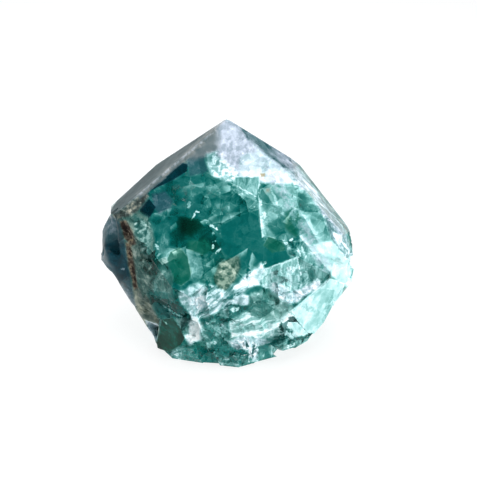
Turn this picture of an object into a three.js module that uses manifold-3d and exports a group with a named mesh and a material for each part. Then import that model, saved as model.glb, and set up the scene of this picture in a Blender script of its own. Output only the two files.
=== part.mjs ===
// A top-polished fluorite point: a broken lump of green fluorite whose upper half has been ground to a
// blunt point, standing on a sawn base. The flanks stay as the crystal broke, in flat steps along its
// four octahedral cleavages. It is one stone, so it is one mesh.
//
// Millimetres, +Z up. The origin is the middle of the sawn base, and the broad front facet faces -Y.
import * as THREE from "three";
import { ConvexGeometry } from "three/addons/geometries/ConvexGeometry.js";
import { mergeVertices } from "three/addons/utils/BufferGeometryUtils.js";
import Module from "manifold-3d";

const wasm = await Module();
wasm.setup();

// ---- driving dimensions -------------------------------------------------------------------------

const TOP = 80; // the core starts this tall, and the grinding cuts it down to the point
const FAR = 200; // a grinding cut is a block of this size, which is larger than the stone

// The ground facets. turn is the compass direction that a facet faces, in degrees from the front (-Y)
// towards +X; tilt is how far its normal leans up; reach is the facet's distance from the origin.
const FACETS = [
  { turn: 0, tilt: 33.5, reach: 34.1 }, // the broad front facet
  { turn: 18, tilt: 40, reach: 40.8 },
  { turn: 87, tilt: 44.6, reach: 47.8 },
  { turn: 85, tilt: 53, reach: 50.6 },
  { turn: 112, tilt: 28.5, reach: 42.1 },
  { turn: 150, tilt: 46, reach: 46.2 },
  { turn: -150, tilt: 48, reach: 48.2 },
  { turn: -125, tilt: 24.6, reach: 40.6 },
  { turn: -96, tilt: 52.2, reach: 49.9 },
  { turn: 10, tilt: 72, reach: 59.4 }, // the blunted tip
];

// The broken blocks that the stone is made of, each the hull of its corners.
const BLOCKS = {
  core: [
    [-20.5, -9, 0], [-15.3, -17.4, 0], [-4, -20.5, 0], [3, -22, 0], [8.6, -19, 0],
    [16, -15.5, 0], [23, -8, 0], [24.5, 5, 0], [17, 15, 0], [5, 20, 0], [-9, 20, 0], [-19, 10, 0],
    [-24, -9, 8], [-16, -20, 8], [-2, -24, 8], [14, -21, 8], [25, -13, 8],
    [28.6, -5, 8], [24, 18, 9], [5, 26, 8], [-14, 25, 9], [-26, 9, 9],
    [-27.6, -12, 17], [-20, -19, 17], [-6, -26, 17], [14, -25, 17], [27, -17, 18],
    [32, -6, 17.5], [30, 16, 18], [9, 29, 17], [-14, 28, 18], [-30, 11, 18],
    [-31, -11, 25], [-13, -25, 24], [4, -25.6, 24], [27, -22.3, 27], [33, -8, 28],
    [32, 12, 28], [15, 28, 28], [-8, 30, 28], [-26, 21, 28], [-33, 5, 30],
    [-32.3, 2, TOP], [-28.6, -13, TOP], [-12, -24.7, TOP], [2.3, -24.6, TOP], [27, -22.3, TOP],
    [32, -14.8, TOP], [31, 4, TOP], [27, 16, TOP], [8, 26, TOP], [-12, 25, TOP], [-26, 15, TOP],
  ],
  blue_flank: [
    [-32, -6, 37.4], [-33.8, -4, 34.6], [-35.3, -3, 31], [-36, -2, 27], [-35.8, -4, 24],
    [-29, -13, 36], [-32, -12.5, 30], [-32.2, -11, 24.5], [-30.2, -11, 20.5],
    [-33, 8, 34], [-35, 8, 27], [-32, 9, 18], [-15, 0, 20], [-15, 0, 35],
  ],
  mint_flank: [
    [31, -7, 37.4], [33.6, -7, 34], [35.6, -8, 26.6], [30, -19, 32], [32.5, -15.5, 28],
    [32, 10, 34], [34.8, 6, 26], [30, 12, 20], [15, 0, 30], [15, 0, 18], [30, -15, 20],
  ],
  mint_step: [
    [35.4, -7, 24.4], [35.2, -6, 18.2], [31.5, -15.5, 24], [31, -15, 20], [34.4, 6, 25],
    [34, 7, 18], [32, -4, 12.6], [30.4, -11, 14], [31, 7, 12], [15, 0, 25], [15, 0, 14],
  ],
  right_plate: [
    [17.4, -23.5, 18.5], [27.2, -22.5, 25.5], [20, -22.5, 12], [32.4, -8, 18], [29.6, -9, 10.5], [27.8, -10, 6.8],
    [24, -18, 8], [10, -10, 20], [10, -10, 8],
  ],
  front_ledge: [
    [-15.2, -17.6, 0], [-14.2, -20.5, 5.6], [-7, -23.5, 6.2], [2, -24.2, 5], [7.6, -22.4, 4.4], [8.4, -20.6, 0.6],
    [3.2, -22.3, 0], [-4, -20.8, 0], [0, -10, 0], [0, -10, 6],
  ],
  base_lens: [
    [9, -21.4, 2.8], [10.2, -23, 6.4], [15.5, -22.5, 8.6], [20, -20.5, 9], [23.4, -15.5, 6.8], [18, -18.5, 3.2],
    [14, -19.5, 2.2], [8, -8, 3], [8, -8, 7],
  ],
};

// Hollows broken out of the blocks, each the hull of its corners.
const BITES = {
  under_front_facet: [
    [9.3, -21.6, 29.2], [18.5, -19.7, 32.1], [27, -22.2, 28.2], [9.9, -22, 22.1], [15.5, -22.6, 20.4],
    [25, -21.6, 21.4], [8, -32, 33], [28, -32, 33], [9, -31, 21.6], [27, -31, 20.4],
  ],
};

// Faces that split clean in one piece, where no chip reaches. The stone is cleared in front of each
// outline, and whole between the outline and the roots behind it.
const CLEAN_FACES = {
  mint_face: {
    outline: [
      [17.1, -22.3, 17.5], [27.7, -14.3, 23.3], [32.5, -9.5, 19], [30.7, -10.7, 17.4], [30, -11, 15.4],
      [28.9, -11.7, 13.9], [28.3, -11.7, 11], [27.1, -12.2, 8.5], [25.6, -13.2, 7.2],
      [24.2, -14.2, 5.8], [22.4, -16, 7.2], [19.6, -19.3, 12.1],
    ],
    roots: [[30.5, 0, 17], [29.5, 2, 13], [26.5, 3, 8], [15, -5, 18], [12, -5, 7]],
  },
  green_face: {
    outline: [
      [-18.2, -17.5, 12.1], [-14.3, -21.6, 15.2], [-12.5, -22.2, 12.2], [-11.2, -22.4, 9.3],
      [-12.8, -20, 5.4], [-16.2, -16, 1.1], [-20.1, -12.6, 0.4], [-20.6, -12.6, 1.6],
      [-19.1, -15.2, 6.7],
    ],
    roots: [[-10, -10, 10], [-10, -10, 2]],
  },
  blue_foot: {
    outline: [
      [-32.7, -8, 23.2], [-29.6, -12.2, 25.3], [-26.9, -14.3, 25.7], [-25.8, -14.9, 23.3],
      [-24.9, -15, 20.6], [-23.9, -15, 17.2], [-23.5, -14.8, 15], [-26.2, -11, 12.6],
      [-27.3, -10.5, 14.5], [-28.3, -10, 16.5], [-29.4, -9.5, 18.4], [-30.8, -9, 19.7],
      [-31.6, -8.5, 21.3], [-28.6, -12.9, 21.7], [-26.3, -13.5, 17],
    ],
    roots: [[-22, -5, 24], [-20, -5, 13], [-29, 0, 22], [-24.5, 0, 12]],
  },
  front_sheet: {
    outline: [
      [-1.2, -24.6, 15.4], [1.5, -25.2, 16.4], [4.1, -24.7, 13.1], [5.2, -24.1, 9.7], [3.6, -22.8, 7],
      [0.4, -22.8, 7.4], [-1.5, -23.4, 10.5],
    ],
    roots: [[0, -15, 12], [4, -15, 8]],
  },
  under_mint_face: {
    outline: [
      [16.4, -22.5, 14.2], [19.2, -20.5, 13.1], [22.7, -16, 6.8], [20.1, -17.5, 5.8],
      [15.6, -19.5, 7.6],
    ],
    roots: [[15, -10, 9], [18, -8, 5]],
  },
};
const CLEARED = [0, -13.7, 6.1]; // the way out from a clean face, and how far the stone is cleared

// The iron-stained seam down the left of the front, an open groove along a path on the surface.
const SEAM = {
  path: [[-28.3, -13.2, 41], [-26.6, -14.5, 36], [-25.7, -15.2, 30], [-25.2, -15.3, 24], [-24.6, -14.6, 17]],
  width: [0.8, 2.6, 2.2, 1.6, 0.8],
  depth: [0.6, 2.6, 1.8, 1.4, 0.5],
  faces: -35, // the compass direction that the seam opens towards
};

// Cleavage: fluorite splits along the four faces of an octahedron. The crystal's own axes are turned
// by CRYSTAL_TURN against the ground point. A chip's floor is the cleavage that lies flattest to the
// surface, and two of the others are its sides. clear is how far its middle stays below the facets.
const CRYSTAL_TURN = new THREE.Euler(0.55, 0.32, 0.4);
const CHIPS = [
  { count: 70, halfWidth: [2.5, 7], depth: [0.3, 1.3], clear: 2.2 },
  { count: 90, halfWidth: [1.2, 3.4], depth: [0.3, 0.9], clear: 0.8 },
  { count: 70, halfWidth: [0.6, 1.8], depth: [0.25, 0.6], clear: 0.4 },
];
const LONG_SIDE = 1.6; // half a chip's long side, against its widest half width
const CHIP_HEIGHT = 12; // a chip reaches this far out from its floor
const BASE_CLEAR = 1.4; // no chip's middle is lower than this above the sawn base

// ---- making solids ------------------------------------------------------------------------------

function solidFrom(geometry) {
  const bare = geometry.clone();
  bare.deleteAttribute("normal");
  bare.deleteAttribute("uv");
  const merged = mergeVertices(bare, 1e-5);
  return new wasm.Manifold(
    new wasm.Mesh({
      numProp: 3,
      vertProperties: merged.attributes.position.array,
      triVerts: new Uint32Array(merged.index.array),
    }),
  );
}

function geometryFrom(solid) {
  const mesh = solid.getMesh();
  const geometry = new THREE.BufferGeometry();
  geometry.setAttribute("position", new THREE.BufferAttribute(mesh.vertProperties, 3));
  geometry.setIndex(new THREE.BufferAttribute(mesh.triVerts, 1));
  return geometry;
}

function hull(corners) {
  return solidFrom(new ConvexGeometry(corners));
}

function block(corners) {
  return hull(corners.map((c) => new THREE.Vector3(...c)));
}

function facing(turn, tilt) {
  const t = THREE.MathUtils.degToRad(turn);
  const e = THREE.MathUtils.degToRad(tilt);
  return new THREE.Vector3(Math.sin(t) * Math.cos(e), -Math.cos(t) * Math.cos(e), Math.sin(e));
}

// Everything outside the plane that faces normal at distance reach from the origin.
function beyond(normal, reach) {
  const box = new THREE.BoxGeometry(FAR, FAR, FAR);
  box.translate(0, 0, FAR / 2 + reach);
  box.applyQuaternion(new THREE.Quaternion().setFromUnitVectors(new THREE.Vector3(0, 0, 1), normal));
  return solidFrom(box);
}

// A V-shaped groove along a path, opening along the level direction that faces the given turn.
function groove({ path, width, depth, faces }) {
  const out = facing(faces, 0);
  const along = new THREE.Vector3(0, 0, 1).cross(out);
  const sections = path.map((p, i) => {
    const at = new THREE.Vector3(...p);
    return [
      at.clone().addScaledVector(out, -depth[i]),
      at.clone().addScaledVector(out, depth[i]).addScaledVector(along, width[i]),
      at.clone().addScaledVector(out, depth[i]).addScaledVector(along, -width[i]),
    ];
  });
  const lengths = sections.slice(1).map((section, i) => hull([...sections[i], ...section]));
  return lengths.reduce((whole, length) => whole.add(length));
}

// ---- cleavage chips -----------------------------------------------------------------------------

let seed = 7;
function random(low = 0, high = 1) {
  seed = (seed + 0x6d2b79f5) | 0;
  let t = Math.imul(seed ^ (seed >>> 15), 1 | seed);
  t = (t + Math.imul(t ^ (t >>> 7), 61 | t)) ^ t;
  return low + (high - low) * (((t ^ (t >>> 14)) >>> 0) / 2 ** 32);
}

const CLEAVAGES = [[1, 1, 1], [-1, 1, 1], [1, -1, 1], [1, 1, -1]].map((n) =>
  new THREE.Vector3(...n).normalize().applyEuler(CRYSTAL_TURN),
);

// The corners of a block bounded by the cleavages, spans[k] being its two ends along cleavage k.
function cleavedCorners(spans) {
  const planes = CLEAVAGES.flatMap((n, k) => [
    new THREE.Plane(n, -spans[k][1]),
    new THREE.Plane(n.clone().negate(), spans[k][0]),
  ]);
  const corners = [];
  const m = new THREE.Matrix3();
  for (let a = 0; a < 8; a++)
    for (let b = a + 1; b < 8; b++)
      for (let c = b + 1; c < 8; c++) {
        const [p, q, r] = [planes[a], planes[b], planes[c]];
        m.set(...p.normal.toArray(), ...q.normal.toArray(), ...r.normal.toArray());
        if (Math.abs(m.determinant()) < 1e-6) continue;
        const corner = new THREE.Vector3(-p.constant, -q.constant, -r.constant).applyMatrix3(m.invert());
        if (planes.every((s) => s.distanceToPoint(corner) < 1e-6)) corners.push(corner);
      }
  return corners;
}

// A random spot on the solid's surface, with the normal there.
function spotsOn(solid, count, accept) {
  const faces = geometryFrom(solid).toNonIndexed().getAttribute("position");
  const triangles = [];
  let total = 0;
  for (let i = 0; i < faces.count; i += 3) {
    const t = new THREE.Triangle().setFromAttributeAndIndices(faces, i, i + 1, i + 2);
    total += t.getArea();
    triangles.push({ t, upTo: total });
  }
  const spots = [];
  while (spots.length < count) {
    const at = random(0, total);
    const { t } = triangles.find((x) => x.upTo >= at);
    const [u, v] = [random(), random()];
    const [s, w] = u + v > 1 ? [1 - u, 1 - v] : [u, v];
    const place = t.a.clone().addScaledVector(t.b.clone().sub(t.a), s).addScaledVector(t.c.clone().sub(t.a), w);
    const normal = t.getNormal(new THREE.Vector3());
    if (accept(place)) spots.push({ place, normal });
  }
  return spots;
}

function insideFacets(place) {
  return Math.min(...FACETS.map((f) => f.reach - facing(f.turn, f.tilt).dot(place)));
}

function chip({ place, normal }, halfWidth, depth) {
  const facings = CLEAVAGES.map((n) => n.dot(normal));
  const flattest = facings.reduce((best, f, k) => (Math.abs(f) > Math.abs(facings[best]) ? k : best), 0);
  // A floor that is steep to the surface would cut deep, so such a chip is narrower.
  const level = facings[flattest] ** 2;
  const unbroken = (flattest + 1 + Math.floor(random(0, 3))) % 4;
  const spans = CLEAVAGES.map((n, k) => {
    if (k === unbroken) return [-halfWidth[1] * LONG_SIDE, halfWidth[1] * LONG_SIDE];
    if (k !== flattest) return [-random(...halfWidth) * level, random(...halfWidth) * level];
    const floor = -random(...depth);
    return facings[k] > 0 ? [floor, CHIP_HEIGHT] : [-CHIP_HEIGHT, -floor];
  });
  return hull(cleavedCorners(spans).map((c) => c.add(place)));
}

// ---- the stone ----------------------------------------------------------------------------------

let stone = Object.values(BLOCKS).map(block).reduce((whole, b) => whole.add(b));
for (const { turn, tilt, reach } of FACETS) stone = stone.subtract(beyond(facing(turn, tilt), reach));
for (const bite of Object.values(BITES).map(block)) stone = stone.subtract(bite);
stone = stone.subtract(groove(SEAM));
for (const { count, halfWidth, depth, clear } of CHIPS) {
  const spots = spotsOn(stone, count, (p) => insideFacets(p) > clear && p.z > BASE_CLEAR);
  const chips = spots.map((s) => chip(s, halfWidth, depth)).reduce((all, c) => all.add(c));
  stone = stone.subtract(chips);
}
for (const { outline, roots } of Object.values(CLEAN_FACES)) {
  const cleared = outline.map((corner) => corner.map((c, k) => c + CLEARED[k]));
  stone = stone.subtract(block([...outline, ...cleared])).add(block([...outline, ...roots]));
}
// A chip can cut a sliver loose, so only the stone itself is kept.
stone = stone.decompose().reduce((big, piece) => (piece.volume() > big.volume() ? piece : big));

const fluorite = new THREE.MeshStandardMaterial({ color: 0x3f9488, roughness: 0.2, metalness: 0 });
const point = new THREE.Mesh(geometryFrom(stone), fluorite);
point.name = "fluorite_point";

const group = new THREE.Group();
group.add(point);
export default group;
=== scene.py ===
"""The looks of the fluorite point: one see-through teal stone with a ground point and broken flanks.

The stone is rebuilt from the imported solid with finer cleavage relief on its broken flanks, and its
material is clear where the crystal is sound and milky where it is fractured inside.
"""

import functools
import math

import bmesh
import bpy
import numpy as np
from mathutils import Euler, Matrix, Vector, kdtree


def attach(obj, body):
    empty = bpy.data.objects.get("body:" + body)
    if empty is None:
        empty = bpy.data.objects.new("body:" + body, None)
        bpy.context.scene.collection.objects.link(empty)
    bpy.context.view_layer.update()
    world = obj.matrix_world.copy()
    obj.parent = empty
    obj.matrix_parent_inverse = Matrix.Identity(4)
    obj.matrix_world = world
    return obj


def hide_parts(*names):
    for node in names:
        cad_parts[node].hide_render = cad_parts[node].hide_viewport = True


MM = 0.001

# ---- the frame and the camera ----

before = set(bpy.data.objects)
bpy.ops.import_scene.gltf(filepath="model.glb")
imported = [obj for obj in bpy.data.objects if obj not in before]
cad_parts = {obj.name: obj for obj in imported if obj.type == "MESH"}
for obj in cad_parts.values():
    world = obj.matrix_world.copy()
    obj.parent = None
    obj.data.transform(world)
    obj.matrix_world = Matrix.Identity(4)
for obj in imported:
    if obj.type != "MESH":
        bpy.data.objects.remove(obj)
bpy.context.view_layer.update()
scene = bpy.context.scene

PICTURE = 477  # the picture's width and height, in pixels
ELEVATION = math.radians(24)
DISTANCE = 262 * MM
AIM = Vector((3.2, 0, 28.6)) * MM
LENS = 70  # mm, as is the sensor's width
SENSOR = 36
NEAREST_SEEN = 0.01  # metres

SIGHT = Vector((0, math.cos(ELEVATION), -math.sin(ELEVATION)))
UP = Vector((0, math.sin(ELEVATION), math.cos(ELEVATION)))
EYE = AIM - SIGHT * DISTANCE

camera_data = bpy.data.cameras.new("camera")
camera_data.lens = LENS
camera_data.sensor_width = SENSOR
camera_data.clip_start = NEAREST_SEEN
camera = bpy.data.objects.new("camera", camera_data)
camera.location = EYE
camera.rotation_euler = (math.pi / 2 - ELEVATION, 0, 0)
scene.collection.objects.link(camera)
scene.camera = camera

# ---- the stone's own numbers, as in part.mjs ----

# Ground facets: the direction that each faces from the front (-Y) towards +X, its upward tilt, both in
# degrees, and its distance from the origin in mm.
FACETS = [
    (0, 33.5, 34.1),
    (18, 40, 40.8),
    (87, 44.6, 47.8),
    (85, 53, 50.6),
    (112, 28.5, 42.1),
    (150, 46, 46.2),
    (-150, 48, 48.2),
    (-125, 24.6, 40.6),
    (-96, 52.2, 49.9),
    (10, 72, 59.4),
]
CRYSTAL_TURN = Euler((0.55, 0.32, 0.4), "XYZ")  # radians


def facing(turn, tilt):
    """The unit vector that a facet faces."""
    turn, tilt = math.radians(turn), math.radians(tilt)
    return np.array((math.sin(turn) * math.cos(tilt), -math.cos(turn) * math.cos(tilt), math.sin(tilt)))


def crystal_axes():
    """The four octahedral cleavage normals, turned about X, Y and Z in three.js's order, not mathutils's."""
    cx, sx = math.cos(CRYSTAL_TURN.x), math.sin(CRYSTAL_TURN.x)
    cy, sy = math.cos(CRYSTAL_TURN.y), math.sin(CRYSTAL_TURN.y)
    cz, sz = math.cos(CRYSTAL_TURN.z), math.sin(CRYSTAL_TURN.z)
    about_x = np.array(((1, 0, 0), (0, cx, -sx), (0, sx, cx)))
    about_y = np.array(((cy, 0, sy), (0, 1, 0), (-sy, 0, cy)))
    about_z = np.array(((cz, -sz, 0), (sz, cz, 0), (0, 0, 1)))
    turn = about_x @ about_y @ about_z
    corners = np.array(((1, 1, 1), (-1, 1, 1), (1, -1, 1), (1, 1, -1))) / math.sqrt(3)
    return corners @ turn.T


CLEAVAGES = crystal_axes()

# ---- the stone's mesh ----

WELD = 0.002 * MM  # corners nearer than this are one
FLAT = math.radians(0.3)  # faces that meet flatter than this are one face
FINE_EDGE = 0.8 * MM  # the longest edge on the broken flanks
CUTTING_ROUNDS = 10  # the most times that long edges are halved
ON_FACET = 0.03 * MM  # a point nearer to a ground facet than this lies on it

SMALL_CLEAVAGES = 5200  # how many small planes the broken flanks are chipped to
RANDOM_SEED = 11
RELIEF_DEPTH = 0.42 * MM  # the farthest that a point is pushed in
SINK_SHARE = 0.6  # a small cleavage lies up to this share of the depth below the surface
LIKENESS_POWER = 3  # how strongly a spot picks the cleavage that it already faces
LEAST_LEAN = 0.35  # a plane that meets the surface at a smaller cosine counts as this steep
RELIEF_FADE = 0.9 * MM  # the relief grows from nothing over this distance below a ground facet

WORN = [  # worn places: middle and reach, in mm
    ((-31, -10, 30), 13),
    ((-28, -11, 19), 8),
    ((-21.5, -11, 6.5), 7),
    ((31, -14, 27), 8),
    ((31.5, -10.8, 16.5), 4.5),
    ((13, -18, 2), 5.5),
]
WORN_EDGE = 0.4  # the share of a worn place's reach over which it fades
WEAR_PASSES = 30
WEAR_STEP = 0.5  # how far each pass moves a point towards its neighbours' middle
SMOOTH_FROM = 0.5  # faces more worn than this are shaded smooth

# Faces that split clean: the way that each faces, and its distance from the origin in mm.
CLEAN_FACES = [((0.643, -0.754, -0.133), 25.51), ((-0.615, -0.758, -0.216), 21.86)]
CLEAN_EDGE = 0.6 * MM  # the relief grows back over this distance from a clean face


def below_facets(points):
    """How far each point lies inside the nearest ground facet or the sawn base, in metres."""
    gaps = [reach * MM - points @ facing(turn, tilt) for turn, tilt, reach in FACETS]
    return np.min([*gaps, points[:, 2]], axis=0)


def fine_mesh(node):
    """The node's solid with its flat faces merged and its broken faces cut into small triangles."""
    bm = bmesh.new()
    bm.from_mesh(node.data)
    bmesh.ops.remove_doubles(bm, verts=bm.verts, dist=WELD)
    bmesh.ops.dissolve_limit(bm, angle_limit=FLAT, verts=bm.verts, edges=bm.edges)
    bmesh.ops.triangulate(bm, faces=bm.faces)
    for _ in range(CUTTING_ROUNDS):
        ends = np.array([(*e.verts[0].co, *e.verts[1].co) for e in bm.edges])
        ground = np.maximum(below_facets(ends[:, :3]), below_facets(ends[:, 3:])) < ON_FACET
        lengths = np.linalg.norm(ends[:, :3] - ends[:, 3:], axis=1)
        cut = np.flatnonzero((lengths > FINE_EDGE) & ~ground)
        if not len(cut):
            break
        bm.edges.ensure_lookup_table()
        bmesh.ops.subdivide_edges(bm, edges=[bm.edges[i] for i in cut], cuts=1)
        many_sided = [f for f in bm.faces if len(f.verts) > 3]
        bmesh.ops.triangulate(bm, faces=many_sided, quad_method="SHORT_EDGE")
    return bm


def worn(points):
    """How worn the flank is at each point, from 0 to 1."""
    share = np.zeros(len(points))
    for middle, reach in WORN:
        gap = np.linalg.norm(points / MM - middle, axis=1) / reach
        share = np.maximum(share, np.clip((1 - gap) / WORN_EDGE, 0, 1))
    return share


def clean(points):
    """1 where a point lies on one of the faces that split clean, 0 away from them."""
    gaps = [abs(points @ np.array(way) - reach * MM) for way, reach in CLEAN_FACES]
    return np.clip(1 - np.min(gaps, axis=0) / CLEAN_EDGE, 0, 1)


def wear_down(bm):
    """Rounds off the worn places, by moving each point there towards its neighbours."""
    points = np.array([v.co for v in bm.verts])
    ends = np.array([[v.index for v in e.verts] for e in bm.edges])
    starts, others = ends.ravel(), ends[:, ::-1].ravel()
    neighbours = np.bincount(starts, minlength=len(points))[:, None]
    off_facets = np.clip(below_facets(points) / RELIEF_FADE, 0, 1)
    share = (worn(points) * off_facets * WEAR_STEP)[:, None]
    for _ in range(WEAR_PASSES):
        sums = [np.bincount(starts, points[others, k], len(points)) for k in range(3)]
        points += (np.stack(sums, axis=1) / neighbours - points) * share
    for vertex, point in zip(bm.verts, points):
        vertex.co = point


def chip_relief(bm):
    """Pushes the broken flanks onto small cleavage planes, so that they are hackly between the big steps."""
    rng = np.random.default_rng(RANDOM_SEED)
    bm.normal_update()
    points = np.array([v.co for v in bm.verts])
    normals = np.array([v.normal for v in bm.verts])
    depth_in = below_facets(points)
    rough = np.flatnonzero(depth_in > ON_FACET)
    picks = rng.choice(rough, SMALL_CLEAVAGES, replace=False)
    tree = kdtree.KDTree(len(picks))
    for k, i in enumerate(picks):
        tree.insert(points[i], k)
    tree.balance()

    both_ways = np.concatenate((CLEAVAGES, -CLEAVAGES))
    likeness = np.clip(normals[picks] @ both_ways.T, 0, None) ** LIKENESS_POWER
    chances = likeness / likeness.sum(axis=1, keepdims=True)
    planes = np.array([both_ways[rng.choice(len(both_ways), p=c)] for c in chances])
    sinks = rng.uniform(0, RELIEF_DEPTH * SINK_SHARE, len(picks))
    hackly = (1 - worn(points)) * (1 - clean(points))

    for i in rough:
        _, k, _ = tree.find(points[i])
        lean = max(normals[i] @ planes[k], LEAST_LEAN)
        drop = ((points[picks[k]] - points[i]) @ planes[k]) / lean - sinks[k]
        fade = min(depth_in[i] / RELIEF_FADE, 1) * hackly[i]
        shift = np.clip(drop, -RELIEF_DEPTH, 0.0) * fade
        bm.verts[i].co += Vector(normals[i] * shift)


def stone_surface(node):
    """The mesh of the stone, from the node's solid."""
    mesh = bpy.data.meshes.new("fluorite_stone")
    bm = fine_mesh(node)
    bm.verts.ensure_lookup_table()
    bm.verts.index_update()
    wear_down(bm)
    chip_relief(bm)
    middles = np.array([face.calc_center_median() for face in bm.faces])
    for face, share in zip(bm.faces, worn(middles)):
        face.smooth = bool(share > SMOOTH_FROM)
    bm.to_mesh(mesh)
    bm.free()
    return mesh


stone_mesh = stone_surface(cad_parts["fluorite_point"])
stone = bpy.data.objects.new("fluorite_stone", stone_mesh)
scene.collection.objects.link(stone)
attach(stone, "root")
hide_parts("fluorite_point")

# ---- the floor and the light ----

# The lamps: place and aim in metres, size in metres, power in watts, and whether polished facets mirror
# them. The two on the right don't show in mirror images, as they would turn a whole facet white.
MIDDLE = (0, 0, 0.03)
LAMPS = {
    "softbox_above": ((0.05, -0.1, 0.5), MIDDLE, (0.4, 0.3), 1.7, True),
    "softbox_right": ((0.48, -0.3, 0.12), MIDDLE, (0.25, 0.2), 1.4, False),
    "reflector_low": ((0.34, -0.36, 0.06), (0.02, -0.01, 0.015), (0.2, 0.1), 0.5, False),
    "softbox_back": ((-0.15, 0.45, 0.3), MIDDLE, (0.4, 0.3), 1.2, True),
}

FLOOR = 3.0  # metres from the middle to each side
FLOOR_GREY = (0.2, 0.2, 0.2, 1)
FLOOR_ROUGHNESS = 0.8
FLOOR_GLOW = 0.82


def area_light(name, place, aim, size, power, mirrored):
    """A soft rectangular lamp that shines from a place towards an aim."""
    data = bpy.data.lights.new(name, "AREA")
    data.shape = "RECTANGLE"
    data.size, data.size_y = size
    data.energy = power
    lamp = bpy.data.objects.new(name, data)
    lamp.location = place
    lamp.visible_glossy = mirrored
    lamp.rotation_euler = (Vector(aim) - Vector(place)).to_track_quat("-Z", "Y").to_euler()
    scene.collection.objects.link(lamp)


def floor_paint():
    """A matt grey that glows nearly white, as a light table does."""
    paint = bpy.data.materials.new("floor")
    paint.use_nodes = True
    paint.cycles.emission_sampling = "NONE"
    shader = paint.node_tree.nodes["Principled BSDF"]
    shader.inputs["Base Color"].default_value = FLOOR_GREY
    shader.inputs["Roughness"].default_value = FLOOR_ROUGHNESS
    shader.inputs["Emission Color"].default_value = (1, 1, 1, 1)
    shader.inputs["Emission Strength"].default_value = FLOOR_GLOW
    return paint


def pale_floor():
    """A plain square floor at the foot of the stone."""
    mesh = bpy.data.meshes.new("floor")
    corners = [(-FLOOR, -FLOOR, 0), (FLOOR, -FLOOR, 0), (FLOOR, FLOOR, 0), (-FLOOR, FLOOR, 0)]
    mesh.from_pydata(corners, [], [(0, 1, 2, 3)])
    mesh.materials.append(floor_paint())
    floor = bpy.data.objects.new("floor", mesh)
    scene.collection.objects.link(floor)
    return floor


for lamp_name, settings in LAMPS.items():
    area_light(lamp_name, *settings)
floor = pale_floor()

# ---- building node trees ----


def linear(red, green, blue):
    """A colour given as screen values from 0 to 255, as the four linear numbers that a node takes."""
    parts = [c / 255 for c in (red, green, blue)]
    return (*[c / 12.92 if c <= 0.04045 else ((c + 0.055) / 1.055) ** 2.4 for c in parts], 1)


class Graph:
    """Makes nodes by calls that take sockets or plain values and return the socket of their result."""

    def __init__(self, tree):
        self.tree = tree

    def put(self, kind, inputs, out=0, **settings):
        """Puts in a shader node of a kind, and returns one of its outputs."""
        node = self.tree.nodes.new("ShaderNode" + kind)
        for name, value in settings.items():
            setattr(node, name, value)
        self.connect(node, inputs)
        return node.outputs[out]

    def connect(self, node, inputs):
        """Links each input to its socket, or sets it to its value."""
        for key, value in inputs.items():
            if isinstance(value, bpy.types.NodeSocket):
                self.tree.links.new(value, node.inputs[key])
            else:
                node.inputs[key].default_value = value

    def use(self, group, inputs):
        """Puts a node group in, and returns its outputs."""
        return self.put("Group", inputs, node_tree=group).node.outputs

    def math(self, operation, a, b=0.0, clamp=False):
        return self.put("Math", {0: a, 1: b}, operation=operation, use_clamp=clamp)

    def add(self, a, b):
        return self.math("ADD", a, b)

    def times(self, a, b):
        return self.math("MULTIPLY", a, b)

    def more(self, total, part, weight):
        """A total with a weighted part added."""
        return self.add(total, self.times(part, weight))

    def larger(self, a, b):
        return self.math("MAXIMUM", a, b)

    def minus_half(self, a):
        return self.math("SUBTRACT", a, 0.5)

    def vector(self, operation, a, b=(0, 0, 0)):
        return self.put("VectorMath", {0: a, 1: b}, operation=operation)

    def minus_grey(self, colour):
        """A random colour as a vector about nothing."""
        return self.vector("SUBTRACT", colour, (0.5, 0.5, 0.5))

    def scale(self, a, by):
        return self.put("VectorMath", {0: a, "Scale": by}, operation="SCALE")

    def dot(self, a, b):
        return self.put("VectorMath", {0: a, 1: b}, out="Value", operation="DOT_PRODUCT")

    def parts(self, colour):
        """The three numbers of a colour."""
        return self.put("SeparateColor", {0: colour}).node.outputs

    def ramp(self, value, low, high, to_low=0.0, to_high=1.0, smooth=True):
        """Goes from one value to another while the input goes from low to high."""
        inputs = {"Value": value, "From Min": low, "From Max": high, "To Min": to_low, "To Max": to_high}
        kind = "SMOOTHSTEP" if smooth else "LINEAR"
        return self.put("MapRange", inputs, interpolation_type=kind, clamp=not smooth)

    def mix(self, share, a, b, kind="MIX"):
        return self.put("Mix", {0: share, 6: a, 7: b}, out=2, data_type="RGBA", blend_type=kind)

    def blend_value(self, share, a, b):
        return self.put("Mix", {0: share, 2: a, 3: b}, data_type="FLOAT")

    def run(self, value, stops):
        """The colour at a value, along a run of stops (value, red, green, blue)."""
        colour = self.put("ValToRGB", {0: value})
        elements = colour.node.color_ramp.elements
        elements[0].position, elements[1].position = stops[0][0], stops[-1][0]
        for place, *_ in stops[1:-1]:
            elements.new(place)
        for element, (_, *screen) in zip(elements, stops):
            element.color = linear(*screen)
        return colour

    def noise(self, place, size, detail=3.0, roughness=0.55, out="Fac"):
        """Soft noise whose blots are about a size across."""
        inputs = {"Vector": place, "Scale": 1 / size, "Detail": detail, "Roughness": roughness}
        return self.put("TexNoise", inputs, out=out)

    def patches(self, place, pattern):
        """Soft patches from 0 to 1, by a pattern's size, detail, roughness, start and full."""
        size, detail, roughness, start, full = pattern
        return self.ramp(self.noise(place, size, detail, roughness), start, full)

    def voronoi(self, place, size, out):
        """Angular cells about a size across."""
        return self.put("TexVoronoi", {"Vector": place, "Scale": 1 / size}, out=out)


# ---- the fluorite ----

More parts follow.
